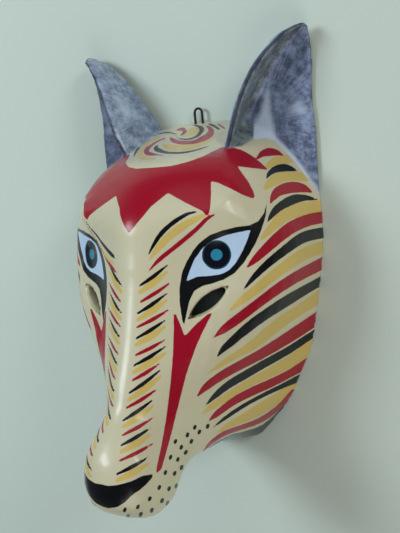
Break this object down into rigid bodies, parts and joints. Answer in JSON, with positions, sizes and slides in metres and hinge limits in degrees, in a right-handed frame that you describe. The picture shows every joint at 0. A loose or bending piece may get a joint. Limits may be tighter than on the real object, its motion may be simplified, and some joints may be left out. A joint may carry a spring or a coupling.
{
  "type": "lynx mask",
  "caption": "Carved and painted wooden animal mask, hollow at the back, with pricked ears, a long muzzle, vision slits and a wire hanging loop.",
  "frame": {"origin": "on the resting plane, below the middle of the mask's length and width", "axes": "+X towards the viewer's right when facing the mask, +Y from the chin towards the ears, +Z from the back rim towards the face"},
  "size_m": [0.2006, 0.3354, 0.1735],
  "materials": {
    "painted_wood": "glossy enamel paint on carved wood, cream with red, black and ochre strokes, lightly worn",
    "iron_wire": "dark iron wire, slightly rusted"
  },
  "bodies": {
    "root": {"carved_mask": "painted_wood", "hanging_loop": "iron_wire"}
  },
  "joints": []
}
